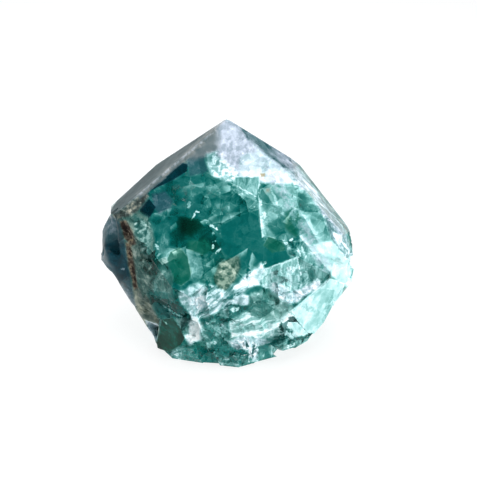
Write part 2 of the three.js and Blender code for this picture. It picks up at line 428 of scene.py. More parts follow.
# The crystal's colour follows how cloudy it is, from clear and dark at 0 to white fractures at 1. There
# are four such runs of colour: the teal of sound fluorite, the greener one of its least cool looks, the
# cooler one of its windows and frosted faces, and the earthy one of the stained crust. Each stop has its
# cloudiness, and its colour as screen values from 0 to 255.
TEAL = [
    (0.00, 0, 50, 46),
    (0.14, 1, 76, 70),
    (0.28, 6, 104, 100),
    (0.42, 46, 122, 116),
    (0.56, 96, 156, 152),
    (0.70, 140, 192, 190),
    (0.84, 196, 232, 234),
    (1.00, 246, 253, 253),
]
GREEN = [
    (0.00, 0, 44, 34),
    (0.14, 2, 68, 54),
    (0.28, 12, 104, 88),
    (0.42, 58, 122, 108),
    (0.56, 98, 156, 142),
    (0.70, 142, 192, 180),
    (0.84, 196, 230, 222),
    (1.00, 246, 253, 250),
]
COOL = [
    (0.00, 0, 34, 42),
    (0.20, 6, 58, 70),
    (0.40, 44, 90, 100),
    (0.58, 104, 126, 136),
    (0.74, 158, 172, 186),
    (0.88, 208, 218, 234),
    (1.00, 246, 249, 254),
]
EARTH = [
    (0.00, 26, 18, 14),
    (0.25, 58, 48, 40),
    (0.45, 87, 82, 73),
    (0.65, 138, 125, 100),
    (0.82, 194, 180, 148),
    (1.00, 240, 238, 230),
]

# A look: its least and most cloudiness, how far fine detail stands out; roughness, the shares of the
# cool and the earthy run; how uneven the surface is, how grainy, and, for a few, which way fibres run.
NO_FIBRE, RISING, LEVEL, UPRIGHT, FALLING = 0, 1, 2, 3, 4
LOOKS = {
    "black": (0.02, 0.1, 0.2, 0.06, 0.1, 0, 0.05, 0),
    "bottle": (0, 0.13, 0.4, 0.5, 0, 0, 0.3, 0),
    "deep": (0.1, 0.22, 0.3, 0.06, 0.25, 0, 0.05, 0),
    "lake": (0.25, 0.33, 0.25, 0.06, 0.33, 0, 0.05, 0),
    "emerald": (0.26, 0.37, 0.3, 0.07, 0, 0, 0.1, 0),
    "dusk": (0.2, 0.37, 0.6, 0.1, 0.4, 0, 0.2, 0),
    "mid": (0.27, 0.45, 0.7, 0.12, 0.25, 0, 0.3, 0),
    "veined": (0.34, 0.54, 0.9, 0.14, 0.3, 0, 0.4, 0.3),
    "moss": (0.36, 0.54, 0.8, 0.25, 0.2, 0.25, 0.5, 0.3),
    "haze": (0.46, 0.66, 0.7, 0.2, 0.27, 0.1, 0.5, 0.2),
    "pale": (0.42, 0.6, 0.5, 0.15, 0.3, 0, 0.3, 0.1),
    "wedge": (0.44, 0.72, 0.8, 0.15, 0.35, 0, 0.4, 0.2, UPRIGHT),
    "silk": (0.6, 0.86, 0.6, 0.15, 0.33, 0, 0.4, 0, UPRIGHT),
    "comb": (0.46, 0.66, 0.5, 0.15, 0.37, 0, 0.3, 0, UPRIGHT),
    "ice": (0.68, 0.84, 0.3, 0.25, 0.33, 0, 0.2, 0.1),
    "mint": (0.74, 0.9, 0.35, 0.3, 0.3, 0, 0.3, 0.1),
    "frost": (0.7, 0.9, 0.3, 0.25, 1, 0, 0.25, 0.5),
    "snow": (0.76, 0.94, 0.6, 0.3, 0.75, 0, 0.4, 0.3),
    "streaks": (0.46, 1, 0.4, 0.25, 0.7, 0, 0.4, 0.1, FALLING),
    "flecks": (0.58, 1, 0.6, 0.25, 0.5, 0, 0.5, 0.9),
    "grey": (0.5, 0.58, 0.15, 0.3, 1, 0.3, 0.1, 0.2),
    "ridge": (0.44, 0.6, 0.3, 0.5, 1, 0.45, 0.4, 0.4),
    "rim_grey": (0.33, 0.45, 0.2, 0.5, 0.93, 0.5, 0.03, 0),
    "shade": (0.3, 0.44, 0.4, 0.1, 0.58, 0.4, 0.1, 0),
    "slate": (0.32, 0.42, 0.35, 0.12, 0.8, 0, 0.1, 0.1),
    "steel": (0.44, 0.66, 0.5, 0.08, 0.86, 0, 0.05, 0),
    "indigo": (0.06, 0.22, 0.4, 0.5, 1, 0, 0.1, 0.1),
    "window": (0.06, 0.2, 0.2, 0.08, 1, 0, 0.03, 0),
    "violet": (0.32, 0.52, 0.6, 0.3, 1, 0.05, 0.4, 0.4),
    "crust": (0.28, 0.62, 0.9, 0.35, 0.3, 0.5, 0.8, 0.4),
    "crumbs": (0.26, 0.62, 0.9, 0.4, 0.4, 0.25, 1, 0.9),
    "sugar": (0.28, 0.66, 0.8, 0.45, 0.7, 0.7, 1, 0.8),
    "olive": (0.46, 0.64, 0.6, 0.35, 0.37, 0.7, 0.5, 0.3),
    "rust": (0.64, 0.8, 0.2, 0.5, 0.3, 1, 0.5, 0.3),
    "stain": (0.25, 0.62, 0.4, 0.6, 0.3, 1, 1, 1),
    "gold": (0.2, 0.6, 0.8, 0.3, 0.1, 0.45, 0.9, 0.9),
    "belt": (0.4, 0.98, 0.6, 0.25, 0.54, 0, 0.8, 0.1, RISING),
    "hackly": (0.28, 0.6, 1, 0.2, 0.36, 0, 0.8, 0.5),
    # painted light: the top of a bulge, near white as if light fell on it
    "painted_light_dome": (0.95, 1, 0.4, 0.35, 0.45, 0, 0.5, 0.4),
    "bruise": (0.66, 0.98, 0.6, 0.4, 0.58, 0, 0.9, 0.7),
    "sheet": (0.6, 0.98, 0.7, 0.25, 0.3, 0.05, 0.5, 0.1, LEVEL),
    "ledge": (0.14, 0.54, 1, 0.15, 0.37, 0, 0.6, 0.6),
}

# Where each look shows on the front: the look, how soft its border is, how white its border is, and
# its corners, in pixels of the picture that the camera takes from its own place.
ZONES = [
    ("dusk", 6, 0,
     [(150, 192), (188, 172), (206, 176), (211, 188), (200, 214), (176, 246), (158, 256), (149, 240)]),
    ("veined", 3, 0.3,
     [(203, 201), (209, 186), (222, 181), (240, 189), (257, 199), (259, 209), (230, 218), (214, 215)]),
    ("deep", 4, 0.1,
     [(168, 234), (177, 218), (197, 216), (210, 224), (217, 236), (213, 252), (190, 251), (172, 245)]),
    ("black", 7, 0, [(178, 219), (194, 217), (201, 226), (190, 234), (180, 232)]),
    ("emerald", 6, 0, [(188, 241), (205, 239), (213, 249), (203, 254), (190, 251)]),
    ("lake", 2, 0.3,
     [(221, 225), (243, 214), (252, 212), (258, 216), (262, 234), (263, 262), (243, 270), (222, 250)]),
    ("lake", 5, 0, [(250, 225), (259, 224), (263, 240), (263, 262), (252, 266), (247, 245)]),
    ("lake", 2, 0.2, [(245, 262), (263, 240), (285, 247), (291, 259), (266, 269), (251, 276)]),
    ("emerald", 2, 0.3, [(263, 245), (269, 236), (283, 243), (286, 250), (272, 253)]),
    ("pale", 3, 0.2, [(186, 249), (200, 253), (203, 272), (198, 284), (190, 280)]),
    ("emerald", 2, 0.4,
     [(165, 263), (170, 252), (180, 247), (187, 256), (192, 272), (189, 280), (181, 286), (172, 281)]),
    ("slate", 4, 0.1, [(152, 193), (166, 190), (172, 200), (168, 208), (157, 212), (151, 206)]),
    ("shade", 3, 0, [(163, 173), (182, 156), (188, 158), (188, 164), (170, 173)]),
    ("window", 2, 0.2, [(152, 190), (160, 178), (181, 163), (188, 164), (187, 171), (175, 179)]),
    ("slate", 4, 0.1, [(188, 156), (205, 152), (210, 170), (204, 174), (190, 177)]),
    ("window", 2, 0.3, [(140, 210), (143, 205), (149, 199), (156, 207), (149, 219), (142, 218)]),
    ("pale", 3, 0.4,
     [(260, 190), (274, 182), (290, 183), (303, 212), (300, 234), (288, 241), (266, 236), (259, 215)]),
    ("emerald", 6, 0, [(286, 210), (300, 206), (301, 226), (296, 236), (284, 228)]),
    ("mid", 5, 0, [(268, 220), (282, 216), (286, 232), (276, 237), (268, 230)]),
    ("ledge", 4, 0.2, [(284, 240), (303, 234), (308, 252), (298, 258), (287, 254)]),
    ("pale", 2, 0.3, [(302, 213), (323, 211), (338, 234), (336, 256), (322, 262), (300, 234)]),
    ("wedge", 2, 0.3, [(301, 236), (330, 271), (318, 286), (300, 291), (296, 258)]),
    ("silk", 2, 0.7, [(261, 270), (297, 257), (301, 275), (296, 292), (262, 287)]),
    ("mint", 4, 0.2, [(312, 244), (327, 241), (345, 236), (357, 256), (355, 284), (341, 288), (330, 271)]),
    ("haze", 4, 0.1, [(248, 297), (262, 289), (280, 295), (294, 308), (296, 322), (285, 336), (250, 330)]),
    ("sheet", 5, 0.1, [(229, 321), (248, 312), (262, 316), (285, 320), (285, 337), (252, 339), (231, 337)]),
    ("ice", 2, 0.5, [(291, 311), (329, 278), (344, 284), (336, 320), (316, 336), (306, 333), (299, 322)]),
    # These chip sides face down into shade; their paler, milkier look is partly their own colour and partly
    # painted light.
    ("mint", 4, 0.2, [(281, 320), (288, 314), (298, 320), (316, 336), (304, 344), (288, 338)]),
    ("belt", 5, 0.1, [(180, 294), (205, 284), (240, 284), (254, 286), (236, 304), (222, 310), (193, 323)]),
    ("hackly", 4, 0.2,
     [(199, 322), (222, 306), (228, 316), (230, 330), (224, 348), (206, 350), (198, 338)]),
    # Painted light: the top of a bulge, made near white as if light fell on it.
    ("painted_light_dome", 5, 0, [(184, 322), (196, 317), (203, 326), (200, 341), (190, 343), (183, 335)]),
    ("bruise", 5, 0, [(181, 292), (192, 283), (203, 284), (204, 291), (190, 300), (182, 300)]),
    ("bruise", 5, 0, [(179, 290), (200, 290), (204, 303), (194, 317), (184, 310)]),
    ("bruise", 4, 0, [(226, 341), (240, 336), (262, 338), (272, 340), (268, 350), (240, 352)]),
    ("bruise", 3, 0, [(246, 340), (262, 340), (262, 349), (258, 362), (248, 362)]),
    ("bruise", 3, 0, [(231, 301), (242, 294), (249, 295), (249, 305), (241, 306)]),
    ("ledge", 3, 0.3, [(171, 352), (186, 349), (248, 350), (252, 360), (236, 368), (205, 365), (172, 359)]),
    ("veined", 3, 0.3, [(258, 347), (276, 341), (290, 341), (287, 353), (258, 359)]),
    ("veined", 3, 0.3, [(276, 343), (313, 333), (311, 339), (285, 354)]),
    ("bruise", 4, 0, [(244, 276), (260, 262), (264, 267), (259, 284), (247, 289), (240, 284)]),
    ("bruise", 5, 0, [(262, 284), (277, 283), (295, 297), (292, 304), (284, 303)]),
    ("bruise", 4, 0, [(288, 294), (318, 281), (322, 285), (300, 301), (288, 304)]),
    ("dusk", 4, 0, [(150, 299), (162, 297), (186, 306), (191, 315), (184, 321), (168, 318), (156, 311)]),
    ("moss", 3, 0.2, [(156, 261), (166, 257), (174, 280), (170, 293), (158, 291), (153, 276)]),
    ("haze", 3, 0.2, [(172, 318), (188, 318), (189, 334), (184, 335)]),
    ("bottle", 2, 0.3,
     [(160, 320), (173, 317), (180, 328), (185, 338), (180, 346), (169, 352), (154, 347), (158, 333)]),
    ("olive", 5, 0.1,
     [(126, 284), (141, 288), (151, 300), (160, 320), (158, 336), (153, 344), (146, 334), (130, 304)]),
    # Painted light: a pocket in shade beside the dark green chip, made pale as if lit.
    ("snow", 2, 0, [(145, 320), (158, 324), (157, 341), (150, 335)]),
    ("gold", 4, 0, [(213, 276), (222, 262), (238, 256), (241, 268), (236, 282), (226, 291), (217, 288)]),
    ("violet", 3, 0.1, [(95, 240), (108, 214), (121, 220), (127, 255), (136, 310), (116, 300), (96, 260)]),
    ("indigo", 7, 0,
     [(104, 246), (116, 240), (124, 243), (128, 258), (130, 276), (118, 284), (107, 268)]),
    ("crust", 6, 0, [(121, 216), (134, 208), (146, 216), (154, 240), (153, 286), (142, 298), (134, 276)]),
    ("crumbs", 4, 0, [(133, 214), (146, 222), (152, 240), (150, 262), (143, 250), (136, 232)]),
    ("stain", 3, 0, [(119, 221), (126, 220), (133, 232), (136, 244), (131, 246), (124, 238)]),
    ("stain", 3, 0, [(125, 242), (131, 244), (134, 262), (139, 287), (134, 290), (128, 266)]),
    ("sugar", 4, 0, [(112, 214), (120, 206), (147, 190), (149, 198), (139, 209), (132, 219), (118, 219)]),
    # The greys along the upper left edge: partly the stone's own tone, partly a painted reflection of the
    # dark surroundings.
    ("grey", 8, 0, [(184, 157), (212, 128), (222, 120), (227, 133), (222, 150), (208, 156), (190, 159)]),
    ("rim_grey", 2, 0,
     [(108, 214), (117, 200), (178, 143), (222, 118), (212, 128), (184, 154), (148, 186), (116, 214)]),
    ("ridge", 3, 0, [(221, 119), (226, 122), (192, 155), (187, 150)]),
    ("ridge", 3, 0, [(188, 149), (193, 154), (165, 178), (160, 174)]),
    ("ridge", 3, 0, [(161, 173), (166, 178), (140, 199), (136, 194)]),
    ("flecks", 5, 0.1,
     [(207, 152), (230, 144), (240, 160), (242, 178), (226, 183), (213, 176), (209, 168)]),
    # The frosted apex: its own frosting, with a painted reflection of the bright surround in its lilac
    # white.
    ("frost", 11, 0,
     [(217, 128), (223, 117), (235, 120), (249, 134), (262, 150), (263, 163), (240, 174), (218, 152)]),
    ("snow", 5, 0, [(240, 156), (262, 150), (290, 167), (302, 184), (286, 184), (262, 182), (240, 177)]),
    ("comb", 2, 0.6, [(233, 185), (235, 177), (259, 177), (259, 184), (256, 198)]),
    ("snow", 4, 0.1, [(250, 142), (299, 168), (306, 186), (290, 182), (266, 166)]),
    ("streaks", 3, 0.1, [(284, 165), (300, 168), (334, 213), (323, 216), (296, 190)]),
    ("veined", 3, 0.2, [(285, 187), (296, 185), (310, 192), (322, 211), (303, 211), (296, 202)]),
    ("streaks", 4, 0.2,
     [(318, 204), (330, 211), (347, 232), (356, 257), (346, 256), (331, 236), (320, 214)]),
    ("rust", 2, 0, [(260, 173.5), (265, 173), (265, 176.5), (261, 177)]),
    ("rust", 6, 0, [(268, 189), (270, 189), (270, 191), (268, 191)]),
    # The steel grey of the strip on the right: partly its own tone, partly a painted reflection of the dark
    # surroundings.
    ("steel", 3, 0.1,
     [(239, 124), (250, 131), (284, 152), (299, 165), (293, 169), (284, 168), (262, 152), (246, 138)]),
]

# Veils inside the crystal: how cloudy, how far they fade from their first side in pixels, and corners.
VEILS = [
    (0.62, 9, [(186, 249), (191, 276), (199, 270), (197, 251)]),
    (0.60, 8, [(244, 211), (222, 223), (208, 224), (214, 213), (236, 212)]),
    (0.52, 7, [(216, 214), (200, 222), (206, 228), (219, 224)]),
    (0.78, 5, [(258, 196), (262, 238), (268, 234), (266, 205)]),
    (0.66, 10, [(262, 188), (274, 205), (286, 207), (280, 188)]),
    (0.60, 8, [(298, 203), (283, 222), (290, 226), (300, 218)]),
    (0.42, 9, [(206, 182), (186, 186), (172, 196), (186, 196), (204, 190)]),
    (0.46, 8, [(172, 208), (152, 214), (150, 224), (168, 218)]),
    (0.48, 7, [(170, 227), (176, 222), (178, 232), (172, 240)]),
    (0.56, 6, [(172, 252), (186, 246), (184, 256), (176, 262)]),
    (0.62, 7, [(222, 264), (248, 248), (246, 262), (230, 274)]),
    (0.64, 8, [(252, 252), (246, 276), (254, 282), (262, 268)]),
    (0.58, 7, [(206, 264), (214, 258), (216, 276), (208, 284)]),
    (0.72, 6, [(302, 214), (330, 262), (338, 256), (318, 218)]),
    (0.86, 8, [(299, 236), (330, 272), (334, 262), (306, 232)]),
    (0.44, 8, [(222, 182), (206, 186), (204, 200), (214, 200)]),
    (0.70, 6, [(206, 151), (210, 171), (214, 168), (213, 152)]),
    (0.40, 8, [(148, 222), (147, 250), (158, 244), (158, 226)]),
]

# Small marks on the front: painted glints and white crumbs, dark cracks, and pits painted dark as shade.
# For each: how cloudy; how far across and down, half the length and half the width, in pixels; and how far
# they lean from level, in degrees.
MARKS = [
    (1, 194, 215, 4.5, 0.9, -62),
    (1, 197, 212, 2.2, 0.8, 10),
    (0.72, 189, 205, 3.2, 1.8, -80),
    (1, 212, 226, 5, 1.5, 25),
    (1, 216, 229, 3, 1, 40),
    (1, 213, 247, 1.2, 3.0, 10),
    (1, 218, 251, 3.0, 1.1, -45),
    (0.9, 215, 241, 2.4, 0.7, -20),
    (0.86, 213, 234, 1, 2.2, 5),
    (0.9, 245, 190.5, 13, 0.7, 29),
    (0.86, 259, 186, 0.8, 8, 3),
    (0.9, 281, 263.5, 20, 0.8, -20),
    (1, 293.5, 270, 1.4, 4.5, 5),
    (1, 286, 243, 4, 1.6, 35),
    (1, 291, 240, 2, 1, -40),
    (0.95, 302, 249, 1.5, 2.5, -20),
    (0.95, 299, 252, 1.2, 3.5, -20),
    (0.9, 306, 257, 1, 2, 20),
    (0.95, 264, 264, 4, 1.2, -40),
    (0.95, 257, 271, 5, 1.6, -50),
    (0.2, 248, 272, 2, 5, 5),
    (0.25, 208, 285, 2.5, 6, -5),
    (0.66, 188, 307, 4, 3.6, 0),
    (0.2, 197, 343, 4, 1.4, 5),
    (0.95, 205, 297, 16, 1.8, -24),
    (0.95, 214, 303, 9, 0.9, -42),
    (0.3, 231, 297, 9, 1.6, -28),
    (0.18, 232, 306, 8, 1.8, 10),
    (0.18, 240, 311, 8, 1.8, -32),
    (0.98, 234, 310, 5, 2.6, -35),
    (0.14, 224, 320, 5, 2.4, 10),
    (0.98, 222, 325, 2, 1, 60),
    (0.98, 215, 343, 1.5, 1.5, 0),
    (0.98, 207, 323, 2, 1, 40),
    (0.2, 247, 345, 1.4, 4, -10),
    (0.25, 253, 350, 1.4, 7, 5),
    (1, 250, 353, 1.4, 8, 5),
    (1, 256, 354, 1.3, 6, 15),
    (0.16, 281.5, 328, 1.9, 6, -8),
    (0.3, 289, 330, 4, 2, 40),
    (0.36, 282, 337, 9, 1.6, 0),
    (0.36, 262, 302, 7, 1.6, -5),
    (0.92, 269, 328, 5, 4, 20),
    (0.92, 259, 294, 2.4, 1.2, 0),
    (0.2, 300, 338, 13, 1.5, -18),
    (0.3, 268, 345, 12, 1.3, -14),
    (0.95, 303, 332, 3, 1, -50),
    (0.95, 290, 346, 5, 1.6, -25),
    (0.72, 308, 308, 6, 3, 20),
    (0.66, 329, 309, 3, 13, 18),
    (0.3, 311, 211, 10, 1.2, 4),
    (0.25, 301, 206, 2, 5, -20),
    (0.3, 293, 216, 3, 8, 25),
    (0.86, 275, 198, 1.4, 9, -22),
    (1, 264, 215, 2.4, 3.4, 30),
    (1, 261, 203, 1.5, 3, -20),
    (0.15, 153, 265, 1.8, 5, 15),
    (0.18, 152, 281, 1.6, 5, 20),
    (0.7, 148, 236, 1.6, 13, 5),
    (0.9, 136, 224, 2, 1.2, -30),
    (0.85, 157, 247, 3, 1.6, 50),
    (0.8, 141, 231, 5, 1.2, -30),
    (0.8, 146, 226, 3, 1, 25),
    (0.72, 143, 262, 1.2, 6, 12),
    (0.78, 150, 268, 3.4, 1.1, -62),
    (0.7, 158, 256, 4, 1, -50),
    (0.75, 123, 269, 2.5, 1, 10),
    (0.6, 112, 231, 5, 2, -30),
    (0, 126, 229, 4, 2.6, 50),
    (0, 130, 234, 2.6, 1.2, 60),
    (0.05, 130, 253, 2, 3, -20),
    (0.05, 133, 270, 1.4, 4, -15),
    (0.1, 135, 279, 1.4, 2.6, -10),
    (0.2, 164, 303, 9, 1.4, 30),
    (0.75, 170, 310, 8, 0.8, 32),
    (0.75, 178, 315, 7, 0.8, 20),
    (0.8, 166, 323, 3, 0.8, 40),
]

# The colour that light keeps on its way through clear crystal, and how fast the rest is taken up.
COLOUR_THROUGH = (0.2, 0.84, 0.8, 1)
ABSORPTION = 70  # per metre
FLUORITE_IOR = 1.434
SPECULAR = 0.15
POLISH = 0.6  # the weight of the polished coat on the ground facets
POLISH_ROUGHNESS = 0.04
POLISH_EDGE = (0.3, 0.05)  # mm below the ground facets at which the polish ends and is full
POLISHED_LOOKS = (0.5, 0.25)  # the roughness of a look at which the polish ends and is full

# Patterns of soft patches: size in mm, detail, roughness, and the noise at which a patch starts and is full.
GRAIN = (1.5, 3, 0.6, 0.38, 0.62)
CLOUDS = (6, 4, 0.6, 0.34, 0.68)
FIBRES = (0.95, 3, 0.55, 0.38, 0.66)
SCUFFS = (1.3, 4, 0.75, 0.36, 0.6)
WISP_GAPS = (6, 2, 0.55, 0.45, 0.6)
BROKEN_RIM = (2.6, 2, 0.55, 0.44, 0.6)
CLEAR_PATCHES = (7, 3, 0.55, 0.5, 0.62)

# The fibres of the looks that have them: their kind, how much each axis counts, and their lean in degrees.
FIBRE_KINDS = [
    (RISING, (0.13, 0.5, 1), 38),
    (LEVEL, (0.12, 0.3, 1), 12),
    (UPRIGHT, (1, 0.4, 0.12), 0),
    (FALLING, (0.13, 0.5, 1), -46),
]
FIBRE_SHARE = 0.85
RIPPLES = ((0.2, 0.6, 1), 38)  # the fibres that roughen every surface: axes and lean

# How far a place is pushed about, in mm, and the size of the blots that it is pushed by.
FRAY, FRAY_SIZE = 0.5, 1.4
WANDER, WANDER_SIZE = 3.0, 9
CHIP_FRAY = 0.8

# The detail that every look shares: sizes in mm, and what each kind adds to the cloudiness.
# Blocks and the smaller chips have a step of their own and a slope across them.
SLOPE_GAIN = 3  # so that a slope goes from about -1 to 1
BLOCK_SIZE, BLOCK_STEP, BLOCK_SLOPE = 8, 0.16, 0.12
CHIP_SIZE, CHIP_STEP, CHIP_SLOPE = 2.4, 0.1, 0.1
HAIRLINES = (4.3, 0.025)  # spacing in mm, and half the width as a share of it
FINE_HAIRLINES = (1.3, 0.06)
FINE_SHARE = 0.6
HAIRLINE_STEP = 0.16
HAIRLINE_GAP_SIZE = 1.2  # as a share of the spacing
HAIRLINE_GAPS = (0.5, 0.62)
WISP_SIZE, WISP_WIDTH, WISP_STEP = 4.5, 0.05, 0.16
# The specks are painted glints: tiny white spots laid into the colour of every surface. These give their
# size in mm, how much whiter each makes it, its edge, and how many cells hold one.
GLINT_SIZE, GLINT_STEP = 1.5, 0.22
GLINT_EDGE = (0.22, 0.12)
GLINTS_SHOWN = (0.86, 0.9)  # about one cell in eight holds a speck
BLOCK_LEAN, CHIP_LEAN = 0.14, 0.2  # how far the surface of each tilts

BUMP, BUMP_HEIGHT = 0.6, 0.12 * MM
TEAL_HUE = 0.3  # green is at 0 and cool at 1
HUE_SIZE, HUE_SWING = 12, 0.5  # blots of a cooler and a greener hue
LEAST_MILK = 0.4  # even the clearest crystal scatters this share of the light
OPAQUE_CLOUD = 0.62  # the cloudiness from which none gets through
EARTH_COVERS, ROUGH_COVERS = (0, 0.5), (0.3, 0.45)  # where each starts to hide the clear, and hides it whole
SCUFF_REACH = (0.8, 0.2)  # mm from an edge between facets at which scuffs end and are full
SCUFF_SHARE = 0.55

# The skin away from the front. A block's random value makes it mid or deep, and large blots make it milky.
ROUND_BLOCK, ROUND_BLOT = 9, 22
MID_BLOCKS, DEEP_BLOCKS = (0.35, 0.4), (0.75, 0.8)
MILKY_BLOTS, TORN_BLOTS = (0.58, 0.72), (0.42, 0.6)
BLOCK_MILK = 0.2
TORN_SHARE = 0.8
BROKEN_FROM = (0.05, 0.5)  # mm below the ground facets at which the torn skin starts and is full
FRONT_EDGE = (-0.02, 0.08)  # cosines to the camera at which the front's skin starts and is full

# How zones, veils and marks are laid on, with widths in pixels.
CRISP_BORDER = 3  # borders no softer than this stay crisp, and softer ones wander
RIM_LIGHT = 0.35
RIM_EDGE = (1.0, 0.1)
VEIL_EDGE, VEIL_SHARE, VEIL_START = 0.6, 0.8, -0.5
VEIL_SPREAD, VEIL_BUSY = 0.1, 0.6
MARK_EDGE, MARK_SHARE = (2.0, 0.3), 0.85
# MARK_CLOUD caps how white a mark is, the painted glints too.
MARK_CLOUD, MARK_BUSY = 0.92, 0.3
# Fine noise makes the marks ragged: its size in mm, its range, and the push on a mark's edge in and out.
RAGGED_SIZE, RAGGED_NOISE, RAGGED_PUSH = 0.7, (0.35, 0.62), (-0.6, 1.1)

FAR_AWAY = 1000.0  # mm, farther than any facet
NOISE_APART = 17.0  # mm between the noise of one cleavage and the next


def facet_distances(g, place):
    """Sockets for how far inside the nearest ground facet a point lies, and the next nearest, in mm."""
    nearest, next_nearest = FAR_AWAY, FAR_AWAY
    for turn, tilt, reach in FACETS:
        along = g.dot(place, tuple(facing(turn, tilt)))
        gap = g.math("SUBTRACT", reach, along)
        next_nearest = g.math("MINIMUM", next_nearest, g.larger(nearest, gap))
        nearest = g.math("MINIMUM", nearest, gap)
    return nearest, next_nearest


def picture_place(g, place):
    """The socket (across, down, 1) of where a point falls in the camera's picture, in pixels."""
    pixels = LENS / SENSOR * PICTURE
    from_eye = g.vector("SUBTRACT", place, tuple(EYE / MM))
    far = g.dot(from_eye, tuple(SIGHT))
    across = g.math("DIVIDE", g.dot(from_eye, (pixels, 0, 0)), far)
    down = g.math("DIVIDE", g.dot(from_eye, tuple(UP * -pixels)), far)
    centre = PICTURE / 2
    return g.put("CombineXYZ", {0: g.add(across, centre), 1: g.add(down, centre), 2: 1.0})


def sides(corners):
    """The sides of a convex outline, as (a, b, c): a point (x, y) lies outside by a x + b y + c."""
    pairs = list(zip(corners, corners[1:] + corners[:1]))
    turn = 1 if sum(x0 * y1 - x1 * y0 for (x0, y0), (x1, y1) in pairs) > 0 else -1
    found = []
    for (x0, y0), (x1, y1) in pairs:
        length = math.hypot(x1 - x0, y1 - y0)
        a, b = turn * (y1 - y0) / length, -turn * (x1 - x0) / length
        found.append((a, b, -(a * x0 + b * y0)))
    return found


def side_inputs(corners):
    """The sides of a convex outline, as inputs of a zone's or a veil's group."""
    return {f"side {k}": side for k, side in enumerate(sides(corners))}


def node_group(name, takes, gives):
    """A new node group with sockets {name: kind}, its Graph, its inputs by name, and the node that gives."""
    tree = bpy.data.node_groups.new(name, "ShaderNodeTree")
    for direction, sockets in (("INPUT", takes), ("OUTPUT", gives)):
        for socket, kind in sockets.items():
            tree.interface.new_socket(socket, in_out=direction, socket_type="NodeSocket" + kind)
    taken = tree.nodes.new("NodeGroupInput").outputs
    return Graph(tree), taken, tree.nodes.new("NodeGroupOutput")


def outside(g, spot, taken, count):
    """The socket of how far a spot lies outside a group's sides, below 0 inside."""
    farthest = g.dot(spot, taken["side 0"])
    for k in range(1, count):
        farthest = g.larger(farthest, g.dot(spot, taken[f"side {k}"]))
    return farthest


SKIN = ("body", "finish", "texture")  # the three groups of a look's numbers


@functools.cache
def zone_group(count):
    """Lays a look over the skin within a convex outline of so many sides."""
    takes = {"spot": "Vector", "half soft": "Float", "rim": "Color", "broken line": "Float"}
    takes |= {f"side {k}": "Vector" for k in range(count)}
    takes |= {part: "Color" for part in SKIN} | {"over " + part: "Color" for part in SKIN}
    g, taken, given = node_group(f"zone_{count}", takes, {part: "Color" for part in SKIN})
    gap = outside(g, taken["spot"], taken, count)
    inner = g.times(taken["half soft"], -1)
    share = g.ramp(gap, taken["half soft"], inner)
    line = g.times(g.ramp(g.math("ABSOLUTE", gap), *RIM_EDGE), taken["broken line"])
    body, *others = [g.mix(share, taken[part], taken["over " + part]) for part in SKIN]
    g.connect(given, dict(zip(SKIN, [g.mix(line, body, taken["rim"], "ADD"), *others])))
    return g.tree


@functools.cache
def veil_group(count):
    """Makes the skin cloudy from the first side of a convex outline, fading away from it."""
    takes = {"spot": "Vector", "body": "Color", "over body": "Color", "fade": "Float"}
    takes |= {f"side {k}": "Vector" for k in range(count)}
    g, taken, given = node_group(f"veil_{count}", takes, {"body": "Color"})
    within = g.ramp(outside(g, taken["spot"], taken, count), VEIL_EDGE, -VEIL_EDGE, 0, VEIL_SHARE)
    from_first = g.dot(taken["spot"], taken["side 0"])
    faded = g.ramp(from_first, g.times(taken["fade"], -1), VEIL_START)
    g.connect(given, {"body": g.mix(g.times(within, faded), taken["body"], taken["over body"])})
    return g.tree


def oval(x, y, half_length, half_width, lean):
    """An oval's two axes, as (a, b, c): a x + b y + c goes from -1 to 1 along each."""
    c, s = math.cos(math.radians(lean)), math.sin(math.radians(lean))
    rows = ((c, s, half_length), (-s, c, half_width))
    return [(a / half, b / half, -(a * x + b * y) / half) for a, b, half in rows]


@functools.cache
def mark_group():
    """Lays a small oval mark on the skin, such as a painted glint, a crumb, or a pit painted dark as shade.
    """
    takes = {"spot": "Vector", "along": "Vector", "across": "Vector", "ragged": "Float"}
    takes |= {"body": "Color", "over body": "Color"}
    g, taken, given = node_group("mark", takes, {"body": "Color"})
    along, across = [g.dot(taken["spot"], taken[axis]) for axis in ("along", "across")]
    out_squared = g.add(g.times(along, along), g.times(across, across))
    edge = g.add(out_squared, taken["ragged"])
    share = g.ramp(edge, *MARK_EDGE, 0, MARK_SHARE)
    g.connect(given, {"body": g.mix(share, taken["body"], taken["over body"])})
    return g.tree


def blocks(g, place, size):
    """Sockets of angular blocks: a random colour for each, and a slope across it from -1 to 1."""
    block_colour = g.voronoi(place, size, "Color")
    centre = block_colour.node.outputs["Position"]
    lean = g.minus_grey(block_colour)
    from_centre = g.vector("SUBTRACT", place, centre)
    return block_colour, g.times(g.dot(from_centre, lean), SLOPE_GAIN / size)


def hairlines(g, place, spacing, width):
    """The socket of fine straight lines where cleavage planes come to the surface, broken here and there."""
    lines = 0.0
    for k, cleavage in enumerate(CLEAVAGES):
        along = g.dot(place, tuple(cleavage / spacing))
        to_plane = g.math("PINGPONG", along, 0.5)
        line = g.ramp(to_plane, width, 0.0)
        elsewhere = g.vector("ADD", place, (NOISE_APART * k, 0, 0))
        shown = g.ramp(g.noise(elsewhere, spacing * HAIRLINE_GAP_SIZE, 2), *HAIRLINE_GAPS)
        lines = g.larger(lines, g.times(line, shown))
    return lines


def look(name):
    """A look's numbers in groups of three, as a node's colour sockets carry them."""
    numbers = (*LOOKS[name], NO_FIBRE)
    return [(*numbers[i:i + 3], 1) for i in (0, 3, 6)]


def blend(g, share, under, over):
    """A skin laid over another by a share."""
    return [g.mix(share, a, b) for a, b in zip(under, over)]


